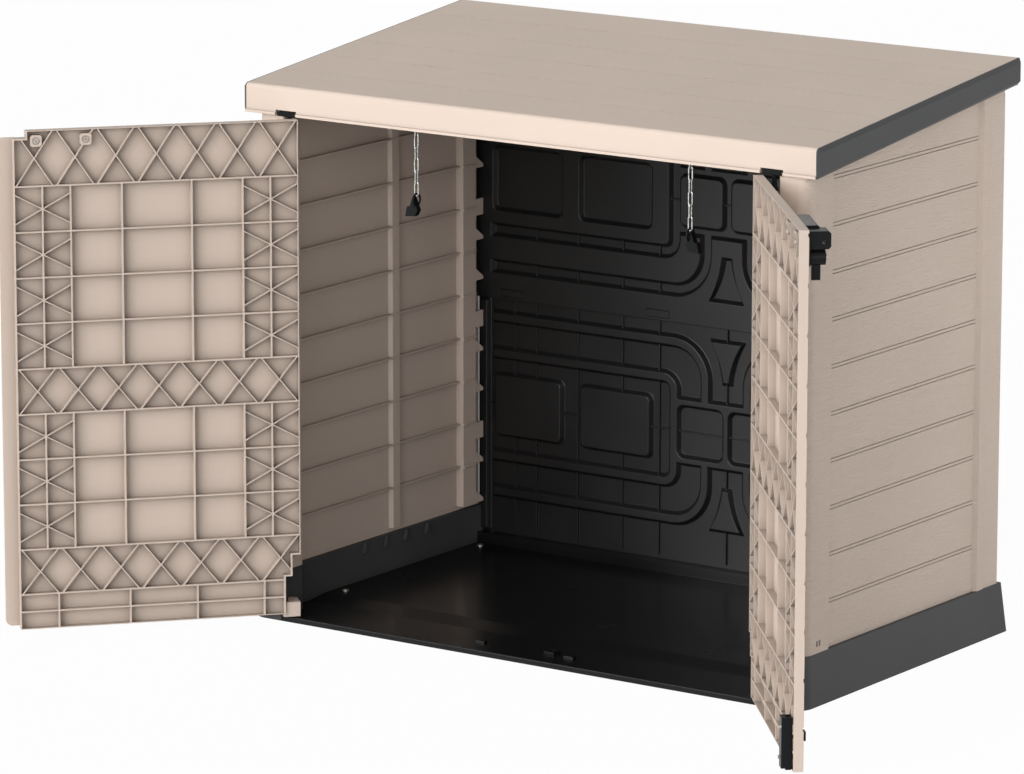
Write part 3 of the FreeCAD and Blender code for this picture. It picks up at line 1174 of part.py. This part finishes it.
def lid_panel():
    added = [box("fascia_bead", ("-(%s)" % LID_END, LID_END), ("-lid_front - lid_bead", "-lid_front + 1"),
                 ("fascia_bottom", "fascia_bottom + 2 * lid_bead"))]
    reach = "%s - 2 * lid_rib" % POST_IN
    for k in range(1, LID_RIBS_ACROSS + 1):
        y = "-lid_front + %d * %s / %d" % (k, LID_DEPTH, LID_RIBS_ACROSS + 1)
        under = lid_top(y) + " - lid_skin"
        added.append(box("lid_rib_across", ("-(%s)" % reach, reach), wider((y, y), "lid_rib / 2"),
                         (under + " - lid_rib_depth", under + " + lid_skin / 2")))
    start = "-lid_front + lid_round + lid_skin"
    length = "%s - 2 * lid_round - 4 * lid_skin" % LID_DEPTH
    for part in (-1, -0.5, 0, 0.5, 1):
        x = "(%s) * %s" % (reach, part)
        under = lid_top(start) + " - lid_skin"
        added.append(slope(box("lid_rib_along", wider((x, x), "lid_rib / 2"), (start, start + " + " + length),
                               (under + " - lid_rib_depth", under + " + lid_skin / 2"))))
    lug_end = "%s - lid_lug_gap" % LID_BRACKET_IN
    lug_z = ("lid_pivot_z", "%s - lid_skin / 2" % lid_top("lid_pivot_y - lid_lug_radius"))
    lug_y = wider(("lid_pivot_y", "lid_pivot_y"), "lid_lug_radius")
    for across in both_ways(lug_end + " - lid_lug_width", lug_end):
        added += [rod("lid_lug", "lid_lug_radius", across, "lid_pivot_y", "lid_pivot_z"),
                  box("lid_lug_neck", across, lug_y, lug_z)]
    skirt = "%s - lid_lug_width - 2 * lid_lug_gap" % lug_end
    added.append(box("lid_rear_skirt", ("-(%s)" % skirt, skirt), ("lid_rear - lid_skin", "lid_rear"),
                     ("lid_pivot_z - lid_lug_radius / 2", "lid_pivot_z + 2 * lid_lug_radius")))
    hinge_top = "hinge_seat + hinge_plate + notch_margin"
    fascia = ("-base_depth", "-front_reach")
    removed = [box("fascia_notch", wider(across, "notch_margin"), fascia, ("0", hinge_top))
               for across in both_ways("pivot_x - hinge_plate_in", "pivot_x + hinge_plate_out")]
    removed.append(rod("lid_bore", "lid_pin_radius + running", ("-base_width", "base_width"),
                       "lid_pivot_y", "lid_pivot_z"))
    for k in range(1, LID_LINES + 1):
        y = "-lid_front + %d * %s / %d" % (k, LID_DEPTH, LID_LINES + 1)
        removed.append(box("lid_line", ("-base_width", "base_width"), wider((y, y), "back_line / 2"),
                           ("%s - lid_groove" % lid_top(y), "base_depth * 3")))
    keep(cut("lid_cut", fuse("lid_body", [lid_shell()] + added), removed), "lid_panel")


def lid_trim():
    low_rear = "%s - fascia_height + lid_skin" % LID_PEAK
    body = outline_body("trim_body", "YZ_Plane", [
        ("-lid_front", "fascia_bottom"), ("lid_rear", low_rear), ("lid_rear", LID_PEAK),
        ("-lid_front", "fascia_bottom + fascia_height")], LID_END, "lid_width / 2")
    front, rear = -size["lid_front"], size["lid_rear"]
    tests = [along_x(front, number("fascia_bottom + fascia_height")), along_x(rear, number(low_rear))]
    dress(body, "Fillet", "Radius", "lid_round", lambda edge: any(test(edge) for test in tests))
    outside = number("lid_width / 2")
    dress(body, "Chamfer", "Size", "trim_bevel",
          lambda edge: all(abs(v.Point.x - outside) < 0.01 for v in edge.Vertexes))
    pair(body, "lid_trim")


# Chains

EYE_Z = "%s - lid_skin" % lid_top("-chain_y")


def chain_link():
    """One link of round wire about the origin, long along Z and flat in the XZ plane."""
    r = size["link_width"] / 2 + size["wire_radius"]
    a = size["link_length"] / 2 - size["link_width"] / 2
    path = Part.Wire([Part.makeLine(V(r, 0, -a), V(r, 0, a)),
                      Part.Arc(V(r, 0, a), V(0, 0, a + r), V(-r, 0, a)).toShape(),
                      Part.makeLine(V(-r, 0, a), V(-r, 0, -a)),
                      Part.Arc(V(-r, 0, -a), V(0, 0, -a - r), V(r, 0, -a)).toShape()])
    section = Part.Wire(Part.makeCircle(size["wire_radius"], V(r, 0, 0), V(0, 0, 1)))
    return path.makePipeShell([section], True, False)


def chains():
    upright = FreeCAD.Rotation(V(1, 0, 0), 90)
    half = "eye_plate / 2"
    top = lid_top("-chain_y - %s" % half) + " - lid_skin"
    upright_thickness = "eye_plate_thickness * sqrt(1 + (lid_rise / %s)^2)" % LID_DEPTH
    low = "%s - %s" % (top, upright_thickness)
    plate = slope(box("eye_plate_block", wider(("chain_x", "chain_x"), half),
                      wider(("-chain_y", "-chain_y"), half), (low, low + " + eye_plate_thickness")))
    eye_z = "%s - eye_plate_thickness - eye_radius" % EYE_Z
    eye = ring("eye_ring", "eye_radius", "eye_wire", ("chain_x", "-chain_y", eye_z), upright)
    pair(fuse("eye_body", [plate, eye]), "chain_eye")
    step = size["link_length"] - size["link_play"]
    first = number("%s - eye_radius + eye_wire + link_play - link_length / 2" % eye_z)
    link = chain_link()
    links = []
    for k in range(LINKS):
        turned = link.copy()
        turned.Placement = FreeCAD.Placement(V(size["chain_x"], -size["chain_y"], first - k * step),
                                             FreeCAD.Rotation(V(0, 0, 1), 90 * ((k + 1) % 2)))
        links.append(turned)
    pair(solid("chain_links", Part.makeCompound(links)), "chain")
    last = "%f - link_length / 2" % (first - (LINKS - 1) * step)
    ring_z = "%s + link_play + eye_wire - snap_radius" % last
    edge_on = FreeCAD.Rotation(V(0, 1, 0), 90)
    snap_ring = ring("snap_ring", "snap_radius", "eye_wire", ("chain_x", "-chain_y", ring_z), edge_on)
    y, thick = -size["chain_y"] - size["snap_thickness"] / 2, V(0, size["snap_thickness"], 0)
    hook = prism([V(size["chain_x"] + dx, y, number(last) + dz) for dx, dz in SNAP_HOOK], thick)
    pair(fuse("snap_body", [snap_ring, solid("snap_hook", hook)]), "chain_clip")


base_rail()
floor_panel()
bolt_catch()
side_panel()
back_panels()
top_hinge()
lid_hinge()
doors()
latch_keeper()
latch_plate()
latch_lever()
sliding_bolt()
lid_panel()
lid_trim()
chains()
doc.recompute()

for obj in doc.Objects:
    if "Invalid" in obj.State or "Error" in obj.State:
        raise RuntimeError("%s did not build: %s" % (obj.Name, obj.State))
for node in nodes:
    if node.Shape.isNull() or not node.Shape.isValid() or not node.Shape.Solids:
        raise RuntimeError("%s has no valid solid" % node.Label)

os.makedirs("parts", exist_ok=True)
for node in nodes:
    node.Shape.exportStep("parts/%s.step" % node.Label)
    print("%-22s %2d solids %12.0f mm3" % (node.Label, len(node.Shape.Solids), node.Shape.Volume))
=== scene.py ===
"""A resin bin store with open doors: finishes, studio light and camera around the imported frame."""

import math

import bpy
from mathutils import Matrix, Vector


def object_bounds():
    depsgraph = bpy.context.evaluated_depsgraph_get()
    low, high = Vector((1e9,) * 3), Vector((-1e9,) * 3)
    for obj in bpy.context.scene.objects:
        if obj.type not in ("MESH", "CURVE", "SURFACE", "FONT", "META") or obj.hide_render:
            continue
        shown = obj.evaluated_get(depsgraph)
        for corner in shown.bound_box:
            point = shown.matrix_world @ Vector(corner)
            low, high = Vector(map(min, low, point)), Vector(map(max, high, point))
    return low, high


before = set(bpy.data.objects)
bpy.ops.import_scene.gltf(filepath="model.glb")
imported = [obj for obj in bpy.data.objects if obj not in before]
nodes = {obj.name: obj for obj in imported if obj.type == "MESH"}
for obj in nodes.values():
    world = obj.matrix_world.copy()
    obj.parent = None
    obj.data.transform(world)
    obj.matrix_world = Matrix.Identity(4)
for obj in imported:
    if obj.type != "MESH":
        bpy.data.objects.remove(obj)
cad_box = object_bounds()

# Camera: place in metres, angles in degrees, lens and sensor in millimetres
CAMERA_PLACE = (7.089, -10.5871, 3.2522)
CAMERA_TURN = 34.92
CAMERA_TILT = 12.10
CAMERA_ROLL = 0.05
CAMERA_LENS = 213.9
CAMERA_SENSOR = 36.0

# Studio: sizes and places in metres, spreads in degrees, light as Blender's strengths and watts
FLOOR_RADIUS = 60.0
FLOOR_VERTICES = 96
FLOOR_DROP = 0.0005
FLOOR_COLOUR = (0.86, 0.86, 0.86, 1.0)
FLOOR_WHITENESS = 0.97
SKY_COLOUR = (1.0, 1.0, 1.0, 1.0)
SKY_STRENGTH = 0.295
SKY_WHITENESS = 1.0
SUNS = {"key_light": {"strength": 5.85, "spread": 68.0, "place": (-0.2, -0.97, 0.1)},
        "side_light": {"strength": 0.78, "spread": 40.0, "place": (0.66, -0.74, 0.16)}}
FILL_POWER = 16.5
FILL_SIZE = 1.4
FILL_PLACE = (2.6, 1.0, 0.9)

# Colours of the resins and metals, as linear values
BEIGE = (0.565, 0.469, 0.401, 1.0)
GREY = (0.063, 0.0635, 0.065, 1.0)
BLACK = (0.006, 0.006, 0.0062, 1.0)
FITTING_BLACK = (0.007, 0.0075, 0.008, 1.0)
ZINC = (0.62, 0.62, 0.61, 1.0)
DULL_STEEL = (0.45, 0.41, 0.37, 1.0)

# What the finishes share: the noise's roughness and the span where most of it lies, the cosine that
# still counts as facing outward, and the painted shade in corners and grooves: its reach in metres
# and the share of colour left where it is darkest
NOISE_ROUGHNESS = 0.55
NOISE_LOW = 0.3
NOISE_HIGH = 0.7
FACING_LIMIT = 0.6
PAINTED_SHADE_REACH = 0.035
PAINTED_CREVICE_DARKEST = 0.4
# The side panels' plank grooves get a lighter painted shade than the other pieces
SIDE_PAINTED_CREVICE_DARKEST = 0.72
RAY_SAMPLES = 4

# Beige resin: pitches in waves a metre along each axis, depths and edge radius in metres
BEIGE_SPECULAR = 0.1
BEIGE_ROUGHNESS = (0.46, 0.6)
BEIGE_SHADES = (0.95, 1.03)
BEIGE_CLOUD = {"pitch": (3.0, 3.0, 3.0), "detail": 2.0}
BEIGE_SKIN = {"pitch": (900.0, 900.0, 900.0), "detail": 2.0}
BEIGE_SKIN_DEPTH = 0.0002
BEIGE_SKIN_STRENGTH = 0.08
BEIGE_EDGE = 0.0012
GRAIN = {"detail": 7.0, "rough": 0.62, "twist": 0.5}
GRAIN_ALONG = 55.0
GRAIN_ACROSS = 330.0
GRAIN_STRENGTH = 0.8
PANEL_GRAIN_DEPTH = 0.0045
LID_GRAIN_DEPTH = 0.0003
CLOUD_SHARE = 0.6
GRAIN_SHARE = 0.4

# Plain resins, in the same units; the roughness swings by so much to either side
PLAIN_SWING = 0.04
PLAIN_SHADES = (0.9, 1.1)
PLAIN_CLOUD = {"pitch": (4.0, 4.0, 4.0), "detail": 3.0}
PLAIN_SKIN = {"pitch": (650.0, 650.0, 650.0), "detail": 3.0}
PLAIN_SKIN_DEPTH = 0.0003
PLAIN_SKIN_STRENGTH = 0.05
PLAIN_RESINS = {"floor_resin": {"colour": BLACK, "rough": 0.24, "specular": 0.18, "edge": 0.003},
                "grey_resin": {"colour": GREY, "rough": 0.5, "specular": 0.12, "edge": 0.002},
                "black_resin": {"colour": BLACK, "rough": 0.37, "specular": 0.34, "edge": 0.003},
                "fitting_resin": {"colour": FITTING_BLACK, "rough": 0.3, "specular": 0.09, "edge": 0.0015}}

# Plated steels, as the plain resins
STEEL_SWING = 0.08
STEEL_SHADES = (0.82, 1.08)
STEEL_CLOUD = {"pitch": (160.0, 160.0, 160.0), "detail": 4.0}
STEEL_CLOUD_DEPTH = 0.0001
STEEL_CLOUD_STRENGTH = 0.1
STEEL_EDGE = 0.0004
STEELS = {"zinc_steel": {"colour": ZINC, "rough": 0.28},
          "screw_steel": {"colour": DULL_STEEL, "rough": 0.5}}

# Which finish each piece has: the beige ones with the side they are on, and the doors' angle in
# degrees in the photograph's pose
DOOR_OPEN = 131.0
DOORS = {"left_door_panel": -1, "right_door_panel": 1}
SIDES = {"left_side_panel": -1, "right_side_panel": 1}
LID = "lid_panel"
FINISHED_NODES = {"floor_resin": ("floor_panel",),
                  "grey_resin": ("left_base_rail", "right_base_rail", "left_lid_trim", "right_lid_trim"),
                  "black_resin": ("back_panel_lower", "back_panel_upper", "back_panel_clips"),
                  "zinc_steel": ("left_chain", "right_chain", "left_chain_eye", "right_chain_eye"),
                  "screw_steel": ("floor_screws", "keeper_screws", "latch_plate_screws", "bolt_guide_screws",
                                  "left_pivot_pin", "right_pivot_pin", "lever_pin")}
OTHER_FINISH = "fitting_resin"

# Sockets of Blender's Mix node when it mixes colours
MIX_FIRST = 6
MIX_SECOND = 7
MIX_RESULT = 2


class Finish:
    """A material whose node tree is put together step by step around one shader."""

    def __init__(self, name):
        self.material = bpy.data.materials.new(name)
        self.material.use_nodes = True
        self.tree = self.material.node_tree
        self.shader = self.tree.nodes["Principled BSDF"]
        self.place = self.node("ShaderNodeTexCoord")

    def node(self, kind, inputs=None, **settings):
        """A new node with its settings, and each input linked to a socket or set to a value."""
        made = self.tree.nodes.new(kind)
        for key, value in settings.items():
            setattr(made, key, value)
        for key, value in (inputs or {}).items():
            if isinstance(value, bpy.types.NodeSocket):
                self.tree.links.new(value, made.inputs[key])
            else:
                made.inputs[key].default_value = value
        return made

    def noise(self, pitch, detail, rough=NOISE_ROUGHNESS, twist=0.0):
        """Noise over the object's own coordinates, with its own pitch along each axis."""
        scaled = self.node("ShaderNodeMapping", {"Vector": self.place.outputs["Object"], "Scale": pitch})
        return self.node("ShaderNodeTexNoise", {
            "Vector": scaled.outputs["Vector"], "Scale": 1.0, "Detail": detail, "Roughness": rough,
            "Distortion": twist}).outputs["Fac"]

    def calc(self, operation, first, second):
        return self.node("ShaderNodeMath", {0: first, 1: second}, operation=operation).outputs["Value"]

    def spread(self, value, low, high):
        """A noise value drawn out between two numbers."""
        return self.node("ShaderNodeMapRange", {
            "Value": value, "From Min": NOISE_LOW, "From Max": NOISE_HIGH,
            "To Min": low, "To Max": high}).outputs["Result"]

    def facing(self, outward):
        """One where the surface looks outward, nought elsewhere."""
        dot = self.node("ShaderNodeVectorMath", {0: self.place.outputs["Normal"], 1: outward},
                        operation="DOT_PRODUCT").outputs["Value"]
        return self.calc("GREATER_THAN", dot, FACING_LIMIT)

    def painted_shade_factor(self, shade):
        """One on open faces, down to the shade in the corners and grooves of the piece itself: painted shade
        from ambient occlusion.
        """
        open_share = self.node("ShaderNodeAmbientOcclusion", {"Distance": PAINTED_SHADE_REACH},
                               samples=RAY_SAMPLES, only_local=True).outputs["AO"]
        return self.node("ShaderNodeMapRange", {"Value": open_share, "To Min": shade}).outputs["Result"]

    def tint(self, colour, value, shades, painted_crevice_darkest=PAINTED_CREVICE_DARKEST):
        """The base colour, varied a little by a value and darkened by painted shade in crevices."""
        # painted shade: the ambient occlusion factor darkens the base colour in corners and grooves
        factor = self.calc("MULTIPLY", self.spread(value, *shades), self.painted_shade_factor(painted_crevice_darkest))
        grey = self.node("ShaderNodeCombineColor", {"Red": factor, "Green": factor, "Blue": factor})
        tinted = self.node("ShaderNodeMix", {
            "Factor": 1.0, MIX_FIRST: colour, MIX_SECOND: grey.outputs["Color"]},
            data_type="RGBA", blend_type="MULTIPLY")
        self.tree.links.new(tinted.outputs[MIX_RESULT], self.shader.inputs["Base Color"])

    def bump(self, height, depth, strength, under):
        """The normal under it, raised by a height."""
        return self.node("ShaderNodeBump", {
            "Height": height, "Distance": depth, "Strength": strength, "Normal": under}).outputs["Normal"]

    def soft_edges(self, radius):
        """The surface's normal, rounded over at the edges."""
        return self.node("ShaderNodeBevel", {"Radius": radius}, samples=RAY_SAMPLES).outputs["Normal"]

    def close(self, normal, rough):
        self.tree.links.new(normal, self.shader.inputs["Normal"])
        self.tree.links.new(rough, self.shader.inputs["Roughness"])
        return self.material


def beige_resin(name, outward, grain_pitch, grain_depth, painted_crevice_darkest=PAINTED_CREVICE_DARKEST):
    """Moulded beige resin, embossed with wood grain on the face that looks outward."""
    made = Finish(name)
    made.shader.inputs["Specular IOR Level"].default_value = BEIGE_SPECULAR
    cloud = made.noise(**BEIGE_CLOUD)
    streaks = made.noise(grain_pitch, **GRAIN)
    skin = made.noise(**BEIGE_SKIN)
    grain = made.calc("MULTIPLY", streaks, made.facing(outward))
    normal = made.bump(skin, BEIGE_SKIN_DEPTH, BEIGE_SKIN_STRENGTH, made.soft_edges(BEIGE_EDGE))
    normal = made.bump(grain, grain_depth, GRAIN_STRENGTH, normal)
    mixed = made.calc("ADD", made.calc("MULTIPLY", cloud, CLOUD_SHARE),
                      made.calc("MULTIPLY", grain, GRAIN_SHARE))
    # The base colour carries painted shade in corners and grooves
    made.tint(BEIGE, mixed, BEIGE_SHADES, painted_crevice_darkest)
    return made.close(normal, made.spread(skin, *BEIGE_ROUGHNESS))


def plain_resin(name, colour, rough, specular, edge):
    """Moulded resin with a fine all-over texture and edges that catch the light."""
    made = Finish(name)
    made.shader.inputs["Specular IOR Level"].default_value = specular
    cloud = made.noise(**PLAIN_CLOUD)
    skin = made.noise(**PLAIN_SKIN)
    normal = made.bump(skin, PLAIN_SKIN_DEPTH, PLAIN_SKIN_STRENGTH, made.soft_edges(edge))
    # The base colour carries painted shade in corners and grooves
    made.tint(colour, cloud, PLAIN_SHADES)
    return made.close(normal, made.spread(cloud, rough - PLAIN_SWING, rough + PLAIN_SWING))


def steel(name, colour, rough):
    """Plated steel, slightly clouded."""
    made = Finish(name)
    made.shader.inputs["Metallic"].default_value = 1.0
    cloud = made.noise(**STEEL_CLOUD)
    # The base colour carries painted shade in corners and grooves
    made.tint(colour, cloud, STEEL_SHADES)
    normal = made.bump(cloud, STEEL_CLOUD_DEPTH, STEEL_CLOUD_STRENGTH, made.soft_edges(STEEL_EDGE))
    return made.close(normal, made.spread(cloud, rough - STEEL_SWING, rough + STEEL_SWING))


def dress(node, material):
    """Gives one CAD piece its only material."""
    mesh = nodes[node].data
    mesh.materials.clear()
    mesh.materials.append(material)


def dress_frame():
    """Gives every CAD piece its finish."""
    upright_grain = (GRAIN_ALONG, GRAIN_ALONG, GRAIN_ACROSS)
    for node, side in SIDES.items():
        # The side panels take a lighter painted shade in their plank grooves
        dress(node, beige_resin(node + "_resin", (side, 0.0, 0.0), upright_grain, PANEL_GRAIN_DEPTH,
                                SIDE_PAINTED_CREVICE_DARKEST))
    door_angle = math.radians(DOOR_OPEN)
    for node, side in DOORS.items():
        outward = (side * math.sin(door_angle), -math.cos(door_angle), 0.0)
        dress(node, beige_resin(node + "_resin", outward, upright_grain, PANEL_GRAIN_DEPTH))
    level_grain = (GRAIN_ALONG, GRAIN_ACROSS, GRAIN_ACROSS)
    dress(LID, beige_resin("lid_resin", (0.0, 0.0, 1.0), level_grain, LID_GRAIN_DEPTH))
    finishes = {name: plain_resin(name, **look) for name, look in PLAIN_RESINS.items()}
    finishes.update({name: steel(name, **look) for name, look in STEELS.items()})
    finish_of = {node: finish for finish, group in FINISHED_NODES.items() for node in group}
    for node in nodes:
        if node not in (*SIDES, *DOORS, LID):
            dress(node, finishes[finish_of.get(node, OTHER_FINISH)])


def background_rays(tree):
    """One for rays that see the white studio: the camera's own, reflections and refractions."""
    path = tree.nodes.new("ShaderNodeLightPath")
    seen = path.outputs["Is Camera Ray"]
    for kind in ("Is Glossy Ray", "Is Transmission Ray"):
        either = tree.nodes.new("ShaderNodeMath")
        either.operation = "MAXIMUM"
        tree.links.new(seen, either.inputs[0])
        tree.links.new(path.outputs[kind], either.inputs[1])
        seen = either.outputs["Value"]
    return seen


def add_floor():
    """A wide matt floor just under the store, almost white to the background rays."""
    bpy.ops.mesh.primitive_circle_add(vertices=FLOOR_VERTICES, radius=FLOOR_RADIUS, fill_type="NGON",
                                      location=(0.0, 0.0, cad_box[0].z - FLOOR_DROP))
    floor = bpy.context.object
    floor.name = "studio_floor"
    material = bpy.data.materials.new("studio_floor")
    material.use_nodes = True
    tree = material.node_tree
    tree.nodes.clear()
    matt = tree.nodes.new("ShaderNodeBsdfDiffuse")
    matt.inputs["Color"].default_value = FLOOR_COLOUR
    white = tree.nodes.new("ShaderNodeEmission")
    share = tree.nodes.new("ShaderNodeMath")
    share.operation = "MULTIPLY"
    share.inputs[1].default_value = FLOOR_WHITENESS
    tree.links.new(background_rays(tree), share.inputs[0])
    mix = tree.nodes.new("ShaderNodeMixShader")
    tree.links.new(share.outputs["Value"], mix.inputs["Fac"])
    tree.links.new(matt.outputs["BSDF"], mix.inputs[1])
    tree.links.new(white.outputs["Emission"], mix.inputs[2])
    out = tree.nodes.new("ShaderNodeOutputMaterial")
    tree.links.new(mix.outputs["Shader"], out.inputs["Surface"])
    floor.data.materials.append(material)


def add_sky():
    """An even sky, white to the background rays and dimmer as a light."""
    world = bpy.data.worlds.new("studio_sky")
    bpy.context.scene.world = world
    world.use_nodes = True
    tree = world.node_tree
    strength = tree.nodes.new("ShaderNodeMapRange")
    tree.links.new(background_rays(tree), strength.inputs["Value"])
    strength.inputs["To Min"].default_value = SKY_STRENGTH
    strength.inputs["To Max"].default_value = SKY_WHITENESS
    background = tree.nodes["Background"]
    background.inputs["Color"].default_value = SKY_COLOUR
    tree.links.new(strength.outputs["Result"], background.inputs["Strength"])


def add_suns():
    """A broad front light, and one along the open right-hand door that reaches inside."""
    for name, sun in SUNS.items():
        lamp = bpy.data.lights.new(name, "SUN")
        lamp.energy = sun["strength"]
        lamp.angle = math.radians(sun["spread"])
        light = bpy.data.objects.new(name, lamp)
        light.rotation_euler = Vector(sun["place"]).to_track_quat("Z", "Y").to_euler()
        bpy.context.scene.collection.objects.link(light)


def add_fill():
    """A soft panel that lights the right-hand side from behind."""
    lamp = bpy.data.lights.new("fill_light", "AREA")
    lamp.energy = FILL_POWER
    lamp.size = FILL_SIZE
    fill = bpy.data.objects.new("fill_light", lamp)
    fill.location = FILL_PLACE
    fill.rotation_euler = Vector(FILL_PLACE).to_track_quat("Z", "Y").to_euler()
    bpy.context.scene.collection.objects.link(fill)


def add_camera():
    """The photograph's camera: turned about the upright, tilted down from level, rolled a little."""
    data = bpy.data.cameras.new("photo_camera")
    data.lens = CAMERA_LENS
    data.sensor_width = CAMERA_SENSOR
    camera = bpy.data.objects.new("photo_camera", data)
    turn = Matrix.Rotation(math.radians(CAMERA_TURN), 4, "Z")
    tilt = Matrix.Rotation(math.radians(90.0 - CAMERA_TILT), 4, "X")
    roll = Matrix.Rotation(math.radians(CAMERA_ROLL), 4, "Z")
    camera.matrix_world = Matrix.Translation(CAMERA_PLACE) @ turn @ tilt @ roll
    bpy.context.scene.collection.objects.link(camera)
    bpy.context.scene.camera = camera


dress_frame()
add_floor()
add_sky()
add_suns()
add_fill()
add_camera()
bpy.context.scene.view_settings.view_transform = "Standard"
